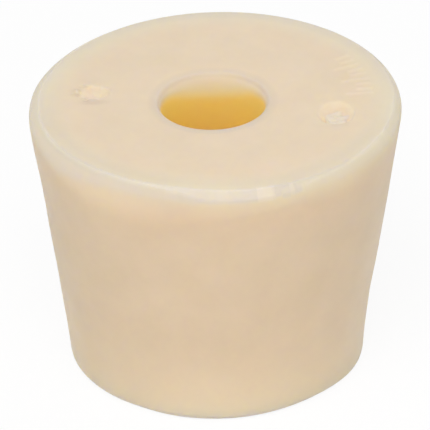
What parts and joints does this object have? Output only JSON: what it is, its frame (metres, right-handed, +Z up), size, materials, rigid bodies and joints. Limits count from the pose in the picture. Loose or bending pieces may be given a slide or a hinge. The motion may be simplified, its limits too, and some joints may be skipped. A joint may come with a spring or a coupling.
{
  "type": "rubber stopper",
  "caption": "Tapered gum-rubber stopper with a straight through bore, rounded edges and two moulding gate marks in its wide face.",
  "frame": {"origin": "centre of the narrow end face, which the stopper stands on", "axes": "+Z up the bore axis, from the narrow end to the wide end; +X towards the deeper gate mark in the wide face"},
  "size_m": [0.034, 0.034, 0.0262],
  "materials": {
    "gum_rubber": "satin"
  },
  "bodies": {
    "root": {"stopper": "gum_rubber"}
  },
  "joints": []
}
